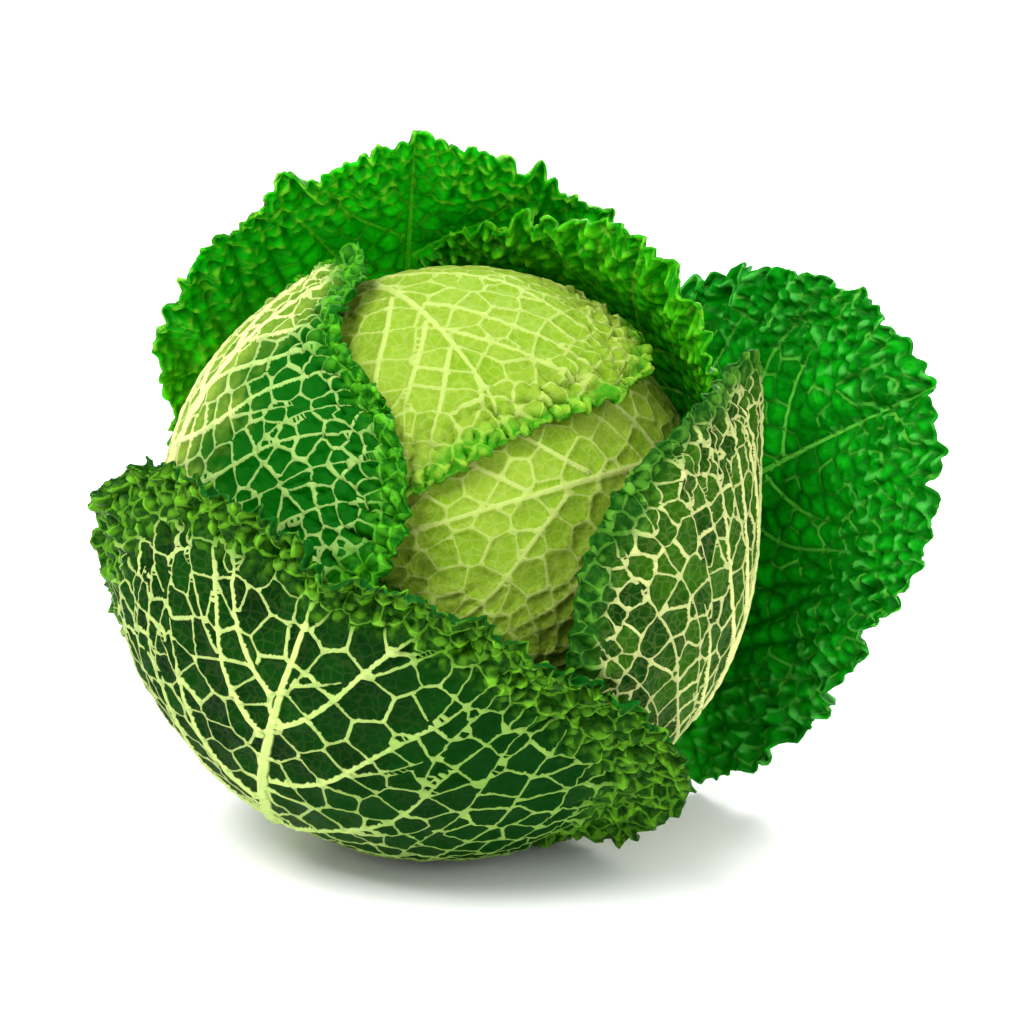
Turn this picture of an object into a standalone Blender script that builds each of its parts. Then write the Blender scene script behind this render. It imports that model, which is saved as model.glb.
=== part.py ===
"""A savoy cabbage, cut at the stem and lying over on its outer leaves with the head facing up and forward.

One short stem carries everything: a dense heart, three leaves closed over it as the head, and six loose
outer leaves around that. Every leaf is one curved sheet. It hugs a sphere round the cabbage's centre,
leaves that sphere where it flares or rolls back, ruffles towards its margin, and narrows to a petiole
that ends at the stem. Its veins stand out on the outer side, with the blade sunk between them.

Lengths are in millimetres in the tables and formulas, and become metres where a mesh is made.
"""
import math
from dataclasses import dataclass

import bmesh
import bpy
import numpy as np
from mathutils import Vector

MM = 0.001

# Driving dimensions, in mm and degrees
CENTRE_HEIGHT = 96.0        # centre of the cabbage above the surface it lies on
HEAD_SHIFT = 5.0            # the head sits this much to the right of that centre
HEART_RADIUS = 65.0
STEM_RADIUS = 15.0
STEM_START, STEM_END = 67.5, 110.0
STEM_CLEARANCE = 0.6        # between the stem and the end of each petiole
PETIOLE_STEP = 0.004        # step of the search for that end, as a share of the way to the stem
ROLL_LENGTH = 12.0          # a rolled margin turns by its roll over this length
LEAN = 43.0                 # the growing axis leans this far from upright, towards -Y
SWING = 8.0                 # and is swung this far towards +X
RESTING_RADIUS = 99.0       # sphere of the leaf that the cabbage lies on
FLATTENING = 0.9            # share of the layer spacing kept where the leaves are pressed flat

BLADE = 1.2                 # thickness of a blade between its veins
JITTER = 0.24               # how irregular the net is, as a share of one mesh
CRINKLE = 0.8               # height of the crinkles along the margin, as a share of the leaf's ruffle
RIB_SHARE = 0.07            # half-width of the midrib as a share of the blade's
COLUMNS, ROWS = 12, 14      # meshes of the net across and along a leaf
SIDE_VEINS = (3, 5)         # columns, counted from the midrib, that carry a stronger vein
SIDE_VEIN = 1.0             # how far those stand out of the blade
NET_SEED = 103
RELIEF_FADE = 0.4           # share of the leaf's length over which net and crinkles fade to the petiole

STEM_ROUNDING = 1.5
ROUGHNESS = 0.55
HEART_COLOUR = (0.50, 0.56, 0.16)
STEM_COLOUR = (0.62, 0.66, 0.36)


def unit(vector):
    vector = np.asarray(vector, float)
    return vector / np.linalg.norm(vector)


def ease(start, end, value):
    """0 before start, 1 after end, smooth between them."""
    t = np.clip((value - start) / (end - start), 0, 1)
    return t * t * (3 - 2 * t)


def growing_frame():
    """The growing axis, and the directions across it towards its upper side and towards its right side."""
    lean, swing = math.radians(LEAN), math.radians(SWING)
    growth = np.array([math.sin(lean) * math.sin(swing), -math.sin(lean) * math.cos(swing), math.cos(lean)])
    upper = unit(np.array([0, 0, 1]) - growth[2] * growth)
    return growth, upper, np.cross(upper, growth)


GROWTH, UPPER, RIGHT = growing_frame()
STEM = -GROWTH


@dataclass
class Leaf:
    """One leaf and the formula of its surface.

    bearing  angle round the growing axis of the leaf's middle: 0 upper side, 90 right, 180 floor, 270 left
    climb    angle from the stem up to the leaf's middle
    turn     how far the leaf's own axis is turned clockwise from the line that leads away from the stem
    radius   of the sphere that the leaf hugs
    left, right, tip    from the middle to the margin on each side
    flare    for left side, tip and right side: the share of its curvature that the leaf gives up, and
             below 0 the share by which it curls in more
    roll     for left side, tip and right side: how far the margin rolls outwards, in radians
    dent     angle on the margin and depth of a bay in the outline, or below 0 the height of a lobe
    rib      thickness of the midrib at the stem
    hollow   depth of the blade between its veins
    shift    how far the leaf stands to the right, as the whole head does
    """
    name: str
    bearing: float
    climb: float
    turn: float
    radius: float
    left: float
    right: float
    tip: float
    flare: tuple = (0, 0, 0)
    flare_from: float = 40
    roll: tuple = (0, 0, 0)
    roll_from: float = 0.8
    ruffle: float = 4
    waves: float = 9
    dent: tuple = (0, 0)
    petiole: float = 15
    rib: float = 3.0
    hollow: float = 2.0
    shift: float = 0
    seed: int = 1
    colour: tuple = (0.03, 0.20, 0.02)

    def __post_init__(self):
        bearing, climb, turn = (math.radians(angle) for angle in (self.bearing, self.climb, self.turn))
        side = math.cos(bearing) * UPPER + math.sin(bearing) * RIGHT
        self.middle = math.cos(climb) * STEM + math.sin(climb) * side
        onward = -math.sin(climb) * STEM + math.cos(climb) * side
        sideways = np.cross(onward, self.middle)
        self.along = math.cos(turn) * onward + math.sin(turn) * sideways
        self.across = np.cross(self.along, self.middle)
        # the stem in the leaf's own flat coordinates, which run across x and along y
        self.bend = turn
        self.to_stem = np.array([math.sin(turn), -math.cos(turn)])
        self.stem_distance = self.radius * climb
        self.phases = np.random.default_rng(self.seed).uniform(0, 2 * math.pi, 3)
        self.base = self.petiole_end()

    def midrib(self, down):
        """Place of the midrib below the middle, down running from 0 there to 1 at the stem."""
        end = self.to_stem * self.stem_distance
        return end[0] * down ** 2, end[1] * down

    def half_width(self, down, side):
        """Half width below the middle, wide enough to stay true where the flat map is drawn together."""
        full = np.where(side > 0, self.right, self.left)
        width = self.petiole + (full - self.petiole) * np.sin(math.pi / 2 * np.clip(1 - down, 0, 1) ** 1.2)
        angle = np.clip(down * self.stem_distance / self.radius, 1e-6, 2.4)
        return width * (angle / np.sin(angle)) ** 0.7

    def low_place(self, u, down):
        """Flat coordinates below the middle: rows across the midrib that turn with it."""
        mid_x, mid_y = self.midrib(down)
        offset = u * self.half_width(down, u)
        return mid_x + offset * np.cos(self.bend * down), mid_y + offset * np.sin(self.bend * down)

    def low_share(self, x, y):
        """The share of the way to the margin, for places below the middle."""
        near, far = np.zeros_like(x), np.full_like(x, 1.1)
        for _ in range(14):
            down = (near + far) / 2
            mid_x, mid_y = self.midrib(down)
            above = (y - mid_y) * np.cos(self.bend * down) - (x - mid_x) * np.sin(self.bend * down) > 0
            near, far = np.where(above, near, down), np.where(above, down, far)
        offset = (x - mid_x) * np.cos(self.bend * down) + (y - mid_y) * np.sin(self.bend * down)
        return np.abs(offset) / self.half_width(down, offset)

    def petiole_end(self):
        """Where the petiole is cut: as near the stem as its whole width stays clear of it."""
        across = np.linspace(-1, 1, 9)
        for down in np.arange(1, 0, -PETIOLE_STEP):
            points, _ = self.surface(*self.low_place(across, np.full(9, down)))
            if np.linalg.norm(np.cross(points, STEM), axis=1).min() > STEM_RADIUS + STEM_CLEARANCE:
                return down

    def bay(self, turned):
        """Scale of the outline at an angle from the leaf's axis: shallow lobes and one bay or taller lobe."""
        lobes = 0.025 * np.sin(5 * turned + self.phases[2])
        upper = ease(-0.5, 0.2, np.cos(turned))
        bay = self.dent[1] * np.exp(-((turned - math.radians(self.dent[0])) / 0.5) ** 2)
        return 1 + lobes * upper - bay

    def margin_share(self, x, y):
        """0 at the midrib, 1 at the margin."""
        scale = self.bay(np.arctan2(x, y))
        x, y = x / scale, y / scale
        full = np.where(x > 0, self.right, self.left)
        high = (np.abs(x / full) ** 2.2 + np.abs(np.maximum(y, 0) / self.tip) ** 2.2) ** (1 / 2.2)
        return np.where(y >= 0, high, self.low_share(x, y))

    def flat_place(self, u, v):
        """Flat coordinates of a place on the blade: u from -1 to 1 across, v from 0 at the petiole to 1."""
        x_low, y_low = self.low_place(u, self.base * (1 - np.clip(v / 0.5, 0, 1)))
        t = np.clip((v - 0.5) / 0.5, 0, 1)
        x_high = np.where(u > 0, self.right, self.left) * u * np.sqrt(1 - t * t / 2)
        y_high = self.tip * t * np.sqrt(1 - u * u / 2)
        x, y = np.where(v < 0.5, x_low, x_high), np.where(v < 0.5, y_low, y_high)
        scale = self.bay(np.arctan2(x, y))
        return x * scale, y * scale

    def surface(self, x, y, steps=32):
        """Points of the blade and its outward directions, walking out from the middle along each ray."""
        length, turned = np.hypot(x, y), np.arctan2(x, y)
        ray = np.cos(turned)[:, None] * self.along + np.sin(turned)[:, None] * self.across
        shares = np.stack([np.maximum(0, -np.sin(turned)), np.maximum(0, np.cos(turned)),
                           np.maximum(0, np.sin(turned))])
        shares = shares / (shares.sum(axis=0) + 1e-9)
        free = 1 - ease(0.35, 0.8, np.sin(turned) * self.to_stem[0] + np.cos(turned) * self.to_stem[1])
        flare, roll = (free * (np.array(part)[:, None] * shares).sum(axis=0)
                       for part in (self.flare, self.roll))
        heading, outwards, onwards = np.zeros_like(x), np.zeros_like(x), np.zeros_like(x)
        step = length / steps
        for index in range(steps):
            walked = step * (index + 0.5)
            share = self.margin_share(walked * np.sin(turned), walked * np.cos(turned))
            bend = (1 - flare * ease(self.flare_from, self.flare_from + 40, walked)) / self.radius
            bend = bend - roll * ease(self.roll_from, 1.0, share) / ROLL_LENGTH
            heading = heading + bend * step
            onwards = onwards + np.cos(heading) * step
            outwards = outwards - np.sin(heading) * step
        points = (self.radius + outwards)[:, None] * self.middle + onwards[:, None] * ray
        out = np.cos(heading)[:, None] * self.middle + np.sin(heading)[:, None] * ray
        wave = np.sin(self.waves * turned + self.phases[0])
        wave = wave + 0.6 * np.sin(1.7 * self.waves * turned + self.phases[1])
        edge = np.clip(self.margin_share(x, y), 0, 1.1) ** 4 * (0.3 + 0.7 * free)
        points = points + out * (self.ruffle * edge * (0.5 + wave / 3.2))[:, None]
        return points + [self.shift, 0, 0], out

    def floor(self):
        """Height below which this leaf is pressed flat, by the surface or by the layers under it."""
        return max(0.0, (RESTING_RADIUS - self.radius) * FLATTENING)


LEAVES = [
    Leaf("head_leaf_left", 227, 113, 31, radius=68.5, left=60, right=60, tip=64, ruffle=1.5, shift=HEAD_SHIFT,
         rib=1.8, hollow=1.2, seed=11, colour=(0.42, 0.50, 0.10)),
    Leaf("head_leaf_right", 106, 137, -41, radius=73.5, left=85, right=62, tip=96, ruffle=2, shift=HEAD_SHIFT,
         rib=2.0, hollow=1.2, seed=12, colour=(0.45, 0.52, 0.12)),
    Leaf("head_leaf_top", 335, 150, 0, radius=78, left=80, right=85, tip=62, ruffle=3, shift=HEAD_SHIFT,
         rib=2.0, hollow=1.4, seed=13, colour=(0.44, 0.53, 0.12)),
    Leaf("outer_leaf_left", 284, 115, -44, radius=84, left=75, right=98, tip=70, flare=(0, 0.3, 0.2),
         roll=(0, 0.3, 0.6), roll_from=0.75, dent=(38, 0.2), ruffle=3.5, seed=6, colour=(0.14, 0.28, 0.05)),
    Leaf("outer_leaf_upper", 50, 80, 0, radius=87.5, left=90, right=84, tip=72, flare=(-0.5, 2.0, 0),
         flare_from=30, dent=(-8, -0.36), ruffle=2, rib=2.4, seed=7, colour=(0.02, 0.16, 0.01)),
    Leaf("outer_leaf_right", 117, 90, 63, radius=93.9, left=92, right=50, tip=84, flare=(0, 0.9, 0.2),
         flare_from=10, ruffle=2, rib=2.4, hollow=1.8, seed=15, colour=(0.08, 0.18, 0.03)),
    Leaf("outer_leaf_front", 216, 95, 0, radius=RESTING_RADIUS, left=100, right=128, tip=80,
         roll=(0.3, 1.5, 0.8), roll_from=0.7, ruffle=4, rib=5, hollow=1.9, seed=3, colour=(0.02, 0.10, 0.01)),
    Leaf("outer_leaf_back", 360, 70, 2, radius=103, left=84, right=87, tip=97, flare=(0.3, 0.9, 0.6),
         flare_from=20, ruffle=4, rib=3.5, hollow=2.5, seed=8, colour=(0.01, 0.15, 0.01)),
    Leaf("outer_leaf_far_right", 67, 60, -21, radius=111, left=88, right=68, tip=120, flare=(1.0, 1.2, 1.0),
         flare_from=0, dent=(-32, 0.1), ruffle=6, rib=4, hollow=2.5, seed=9, colour=(0.01, 0.12, 0.02)),
]


def column_place(step):
    """Share of the half width at a column of the net: the first is the midrib's edge, the rest are even."""
    if step == 0:
        return 0.0
    even = (abs(step) - 1) / (COLUMNS / 2 - 1)
    return math.copysign(RIB_SHARE + (1 - RIB_SHARE) * even, step)


def vein_thickness(leaf, column, v):
    """Thickness of the leaf at a column of its net, v running from petiole to tip."""
    if column == 0:
        return BLADE + (leaf.rib - BLADE) * (1 - 0.75 * v)
    if abs(column) in SIDE_VEINS:
        return BLADE + SIDE_VEIN * (1 - 0.6 * v)
    return BLADE


def leaf_sheet(leaf):
    """The inner face of a leaf as an open mesh of triangles, and the leaf's thickness at each vertex."""
    rng = np.random.default_rng(leaf.seed + NET_SEED)
    sheet = bmesh.new()
    bmesh.ops.create_grid(sheet, x_segments=COLUMNS, y_segments=ROWS, size=1.0)
    thickness = {}
    for vertex in sheet.verts:
        column, row = round(vertex.co.x * COLUMNS / 2), round((vertex.co.y + 1) * ROWS / 2)
        edge = abs(column) == COLUMNS / 2
        freedom = min(COLUMNS / 2 - abs(column), ROWS - row, row, abs(column) - 1, 2) / 2
        slide_u, slide_v = rng.uniform(-JITTER, JITTER, 2) * max(freedom, 0)
        crinkle = rng.uniform(-0.4, 1) * CRINKLE * leaf.ruffle * (row == ROWS or edge)
        crinkle *= ease(0, RELIEF_FADE, row / ROWS)
        vertex.co = (column_place(column) + slide_u * 2 / COLUMNS, (row + slide_v) / ROWS, crinkle)
        thickness[vertex] = vein_thickness(leaf, column, row / ROWS)
    blades = [face for face in sheet.faces
              if max(abs(vertex.co.x) for vertex in face.verts) > RIB_SHARE * 1.01]
    hollows = bmesh.ops.poke(sheet, faces=blades)["verts"]
    for vertex in hollows:
        vertex.co.z -= leaf.hollow * ease(0, RELIEF_FADE, vertex.co.y)
    bmesh.ops.triangulate(sheet, faces=[face for face in sheet.faces if len(face.verts) > 3])
    flat = np.array([vertex.co for vertex in sheet.verts])
    points, out = leaf.surface(*leaf.flat_place(flat[:, 0], flat[:, 1]))
    for vertex, point in zip(sheet.verts, (points + out * flat[:, 2:3]) * MM):
        vertex.co = point
    sheet.normal_update()
    if sum(face.normal.dot(Vector(leaf.middle)) * face.calc_area() for face in sheet.faces) < 0:
        bmesh.ops.reverse_faces(sheet, faces=sheet.faces)
    return sheet, [thickness.get(vertex, BLADE) for vertex in sheet.verts]


def add_object(name, mesh, colour, root):
    """An object of the cabbage, with its own material."""
    thing = bpy.data.objects.new(name, mesh)
    root.users_collection[0].objects.link(thing)
    thing.parent = root
    material = bpy.data.materials.new(name)
    material.use_nodes = True
    shader = material.node_tree.nodes["Principled BSDF"]
    shader.inputs["Base Color"].default_value = (*colour, 1)
    shader.inputs["Roughness"].default_value = ROUGHNESS
    shader.inputs["Metallic"].default_value = 0
    thing.data.materials.append(material)
    return thing


def add_leaf(leaf, root):
    """A leaf, its thickness laid on outwards, pressed flat where the cabbage lies on it."""
    sheet, thickness = leaf_sheet(leaf)
    mesh = bpy.data.meshes.new(leaf.name)
    sheet.to_mesh(mesh)
    outer_count = len(sheet.verts)
    sheet.free()
    thing = add_object(leaf.name, mesh, leaf.colour, root)
    veins = thing.vertex_groups.new(name="veins")
    for index, value in enumerate(thickness):
        veins.add([index], value / leaf.rib, "REPLACE")
    thicken = thing.modifiers.new("thickness", "SOLIDIFY")
    thicken.thickness = leaf.rib * MM
    thicken.offset = 1
    thicken.vertex_group = "veins"
    evaluated = thing.evaluated_get(bpy.context.evaluated_depsgraph_get())
    thing.data = bpy.data.meshes.new_from_object(evaluated)
    thing.modifiers.clear()
    floor = leaf.floor() - CENTRE_HEIGHT
    for index, vertex in enumerate(thing.data.vertices):
        vertex.co.z = max(vertex.co.z, (floor + BLADE * (index >= outer_count)) * MM)
    thing.data.name = leaf.name
    bpy.data.meshes.remove(mesh)
    return thing


def add_heart(root):
    """The dense middle of the head, which the closed leaves wrap."""
    ball = bmesh.new()
    bmesh.ops.create_uvsphere(ball, u_segments=24, v_segments=14, radius=HEART_RADIUS * MM)
    mesh = bpy.data.meshes.new("heart")
    ball.to_mesh(mesh)
    ball.free()
    mesh.shade_smooth()
    heart = add_object("heart", mesh, HEART_COLOUR, root)
    heart.location = (HEAD_SHIFT * MM, 0, 0)


def add_stem(root):
    """The short stem, cut straight across, that every petiole ends at."""
    stump = bmesh.new()
    bmesh.ops.create_cone(stump, cap_ends=True, segments=20, radius1=STEM_RADIUS * MM,
                          radius2=STEM_RADIUS * MM, depth=(STEM_END - STEM_START) * MM)
    rims = [edge for edge in stump.edges if edge.verts[0].co.z * edge.verts[1].co.z > 0]
    bmesh.ops.bevel(stump, geom=rims, offset=STEM_ROUNDING * MM, segments=2, profile=0.5, affect="EDGES",
                    material=-1)
    mesh = bpy.data.meshes.new("stem")
    stump.to_mesh(mesh)
    stump.free()
    stem = add_object("stem", mesh, STEM_COLOUR, root)
    stem.location = Vector(STEM) * (STEM_START + STEM_END) / 2 * MM
    stem.rotation_mode = "QUATERNION"
    stem.rotation_quaternion = Vector(STEM).to_track_quat("Z", "Y")


def stand(root):
    """Move the whole cabbage so that its box is centred on the origin and it lies on z = 0."""
    bpy.context.view_layer.update()
    corners = np.array([thing.matrix_world @ vertex.co
                        for thing in root.children for vertex in thing.data.vertices])
    low, high = corners.min(axis=0), corners.max(axis=0)
    root.location = (-(low[0] + high[0]) / 2, -(low[1] + high[1]) / 2, -low[2])
    bpy.context.view_layer.update()


def main():
    for thing in list(bpy.data.objects):
        bpy.data.objects.remove(thing)
    cabbage = bpy.data.collections.new("savoy_cabbage")
    bpy.context.scene.collection.children.link(cabbage)
    root = bpy.data.objects.new("cabbage_centre", None)
    cabbage.objects.link(root)
    add_stem(root)
    add_heart(root)
    for leaf in LEAVES:
        add_leaf(leaf, root)
    stand(root)


main()
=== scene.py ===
# %% [markdown]
# # A savoy cabbage
# The cabbage lies over on its outer leaves. Its solids come in as a fixed frame, with one coarse sheet for
# each leaf. This lesson dresses them: every leaf becomes a fine sheet with a net of raised veins, blisters
# between them and a frilled margin. The same formula shapes the coarse and the fine leaf, so both agree.

# %% Frame
import math
from dataclasses import dataclass

import bmesh
import bpy
import numpy as np
from mathutils import Matrix, Vector, noise


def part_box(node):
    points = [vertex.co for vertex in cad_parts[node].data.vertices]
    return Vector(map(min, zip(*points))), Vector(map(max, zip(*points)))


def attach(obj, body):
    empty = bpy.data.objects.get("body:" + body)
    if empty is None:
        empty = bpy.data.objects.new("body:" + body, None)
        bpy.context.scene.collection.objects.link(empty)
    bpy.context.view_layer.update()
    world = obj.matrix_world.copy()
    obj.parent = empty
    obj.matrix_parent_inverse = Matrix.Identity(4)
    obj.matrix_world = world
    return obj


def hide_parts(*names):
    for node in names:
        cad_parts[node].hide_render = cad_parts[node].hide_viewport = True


MM = 0.001
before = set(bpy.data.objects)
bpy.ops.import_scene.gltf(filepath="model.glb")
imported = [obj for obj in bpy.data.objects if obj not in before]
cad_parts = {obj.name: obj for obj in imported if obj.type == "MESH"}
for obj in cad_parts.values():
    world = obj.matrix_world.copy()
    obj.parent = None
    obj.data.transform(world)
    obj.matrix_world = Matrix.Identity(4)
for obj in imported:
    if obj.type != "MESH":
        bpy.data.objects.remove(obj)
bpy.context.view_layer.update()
heart_low, heart_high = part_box("heart")
HEAD_SHIFT = 5.0
centre = (heart_low + heart_high) / 2 - Vector((HEAD_SHIFT * MM, 0, 0))
print("centre of the cabbage:", [round(value / MM, 1) for value in centre], "mm")

# %% [markdown]
# ## The view
# A small product is taken with a long lens from a little above, so its leaves keep their true proportions.
# The lens follows from the width that has to fit at that distance.

# %% Camera
DISTANCE = 0.95
ELEVATION = math.radians(15)
VIEW_WIDTH = 0.3072
SENSOR = 36.0
AIM = (0.0213, 0.005)          # the view's middle is this far to the right of the centre, and above it
view_right = Vector((1, 0, 0))
view_up = Vector((0, math.sin(ELEVATION), math.cos(ELEVATION)))
towards_camera = Vector((0, -math.cos(ELEVATION), math.sin(ELEVATION)))
target = centre + view_right * AIM[0] + view_up * AIM[1]

camera_data = bpy.data.cameras.new("camera")
camera_data.sensor_width = SENSOR
camera_data.lens = SENSOR * DISTANCE / VIEW_WIDTH
camera_data.clip_start = 0.05
camera = bpy.data.objects.new("camera", camera_data)
bpy.context.scene.collection.objects.link(camera)
camera.matrix_world = Matrix((view_right, view_up, towards_camera)).transposed().to_4x4()
camera.location = target + towards_camera * DISTANCE
bpy.context.scene.camera = camera
bpy.context.scene.view_settings.view_transform = "Standard"

# %% [markdown]
# ## Floor and light
# The leaves are glossy only in small highlights, so the light is large and soft: a bright surround, one wide
# lamp above and in front on the left, and a weaker one on the right. The pale floor runs on behind.

# %% Floor
FLOOR_HALF = 3.0
FLOOR_GAP = 0.0004             # the floor lies this far under the leaves, so that the faces don't coincide


def stage_floor():
    ground = bmesh.new()
    bmesh.ops.create_grid(ground, x_segments=1, y_segments=1, size=FLOOR_HALF)
    mesh = bpy.data.meshes.new("floor")
    ground.to_mesh(mesh)
    ground.free()
    mesh.transform(Matrix.Translation((0, 0, -FLOOR_GAP)))
    floor = bpy.data.objects.new("floor", mesh)
    bpy.context.scene.collection.objects.link(floor)
    return floor


floor = stage_floor()

# %% Lights
def add_lamp(name, place, size, power):
    """A square lamp that faces the cabbage."""
    data = bpy.data.lights.new(name, "AREA")
    data.size = size
    data.energy = power
    lamp = bpy.data.objects.new(name, data)
    bpy.context.scene.collection.objects.link(lamp)
    lamp.location = centre + Vector(place)
    lamp.rotation_mode = "QUATERNION"
    lamp.rotation_quaternion = Vector(place).to_track_quat("Z", "Y")


add_lamp("key_lamp", (-0.5, -0.75, 1.1), 0.6, 22)
add_lamp("fill_lamp", (0.9, -0.6, 0.6), 0.8, 5)
add_lamp("rim_lamp", (0.3, 0.9, 0.8), 0.5, 10)

world = bpy.data.worlds.new("surround")
world.use_nodes = True
world.node_tree.nodes["Background"].inputs["Color"].default_value = (1, 1, 1, 1)
world.node_tree.nodes["Background"].inputs["Strength"].default_value = 1.06
bpy.context.scene.world = world

# %% [markdown]
# ## Writing a material as sums
# A leaf's colour follows from masks: where the veins run, how near the margin is, which side of the leaf it
# is. Each mask is a line of arithmetic, so one class lets Python's own operators add the nodes.

# %% Sockets
class Value:
    """A number that a shader works out, with Python's operators on it."""
    tree = None

    def __init__(self, socket):
        self.socket = socket

    def math(self, operation, other=None, swap=False):
        values = [self] if other is None else ([other, self] if swap else [self, other])
        return Value(node("ShaderNodeMath", {"operation": operation}, *values))

    def __add__(self, other):
        return self.math("ADD", other)

    def __radd__(self, other):
        return self.math("ADD", other, True)

    def __sub__(self, other):
        return self.math("SUBTRACT", other)

    def __rsub__(self, other):
        return self.math("SUBTRACT", other, True)

    def __mul__(self, other):
        return self.math("MULTIPLY", other)

    def __rmul__(self, other):
        return self.math("MULTIPLY", other, True)

    def __truediv__(self, other):
        return self.math("DIVIDE", other)

    def __pow__(self, other):
        return self.math("POWER", other)


def node(kind, settings=None, *values, output=0, **named):
    """A node of the material in hand: its settings first, then the values or links of its sockets."""
    made = Value.tree.nodes.new(kind)
    for name, setting in (settings or {}).items():
        setattr(made, name, setting)
    for key, value in [*enumerate(values), *named.items()]:
        socket = made.inputs[key.replace("_", " ")] if isinstance(key, str) else made.inputs[key]
        if isinstance(value, Value):
            value = value.socket
        if isinstance(value, bpy.types.NodeSocket):
            Value.tree.links.new(value, socket)
        else:
            socket.default_value = value
    return made.outputs[output]


def attribute(name):
    return Value(node("ShaderNodeAttribute", {"attribute_name": name}, output="Fac"))


def ramp(value, start, end):
    """0 before start, 1 after end, smooth between."""
    smooth = {"interpolation_type": "SMOOTHSTEP"}
    return Value(node("ShaderNodeMapRange", smooth, value, start, end, 0.0, 1.0))


def mix(share, first, second):
    """A colour between two others."""
    made = Value.tree.nodes.new("ShaderNodeMix")
    made.data_type = "RGBA"
    for index, value in ((0, share), (6, first), (7, second)):
        if isinstance(value, Value):
            value = value.socket
        if isinstance(value, bpy.types.NodeSocket):
            Value.tree.links.new(value, made.inputs[index])
        else:
            made.inputs[index].default_value = value
    return made.outputs[2]


def place():
    """Where a point is on its piece, in metres."""
    return node("ShaderNodeTexCoord", output="Object")


def speckle(size, detail=2.0):
    """Noise whose features are about that many millimetres across."""
    return Value(node("ShaderNodeTexNoise", None, Vector=place(), Scale=1000 / size, Detail=detail))


def colour(red, green, blue):
    """A colour as it looks on a screen, from 0 to 255, made linear."""
    def linear(part):
        part = part / 255
        return part / 12.92 if part <= 0.04045 else ((part + 0.055) / 1.055) ** 2.4
    return (linear(red), linear(green), linear(blue), 1.0)


def new_material(name):
    """A material whose shader the next calls add to."""
    material = bpy.data.materials.new(name)
    material.use_nodes = True
    Value.tree = material.node_tree
    return material, material.node_tree.nodes["Principled BSDF"]


def feed(shader, socket, value):
    """Link a value to a socket of the shader."""
    Value.tree.links.new(value.socket if isinstance(value, Value) else value, shader.inputs[socket])


# %% Floor finish
floor_material, shader = new_material("pale_floor")
shader.inputs["Base Color"].default_value = (0.95, 0.95, 0.95, 1)
shader.inputs["Roughness"].default_value = 0.7
shader.inputs["Specular IOR Level"].default_value = 0.2
floor.data.materials.append(floor_material)

# %% [markdown]
# ## Where a leaf goes
# A cabbage leaf hugs a ball until it flares. A flat outline is wrapped on a sphere by walking out from the
# leaf's middle along straight rays, and bending less and less where the leaf leaves the ball. The numbers
# are those of the solids, in millimetres: the angle round the growing axis, the climb from the stem, the
# sphere's radius and the reach to each side.

# %% Growing axis
LEAN, SWING = 43.0, 8.0
STEM_RADIUS, STEM_CLEARANCE = 15.0, 0.6
RESTING_RADIUS, FLATTENING = 99.0, 0.9
PETIOLE_STEP = 0.004           # step of the search for a petiole's end, as a share of the way to the stem
ROLL_LENGTH = 12.0             # a rolled margin turns by its roll over this length


def unit(vector):
    vector = np.asarray(vector, float)
    return vector / np.linalg.norm(vector)


def ease(start, end, value):
    """0 before start, 1 after end, smooth between them."""
    t = np.clip((value - start) / (end - start), 0, 1)
    return t * t * (3 - 2 * t)


def growing_frame():
    """The growing axis, and the directions across it towards its upper side and towards its right side."""
    lean, swing = math.radians(LEAN), math.radians(SWING)
    growth = np.array([math.sin(lean) * math.sin(swing), -math.sin(lean) * math.cos(swing), math.cos(lean)])
    upper = unit(np.array([0, 0, 1]) - growth[2] * growth)
    return growth, upper, np.cross(upper, growth)


GROWTH, UPPER, RIGHT = growing_frame()
STEM = -GROWTH


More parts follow.
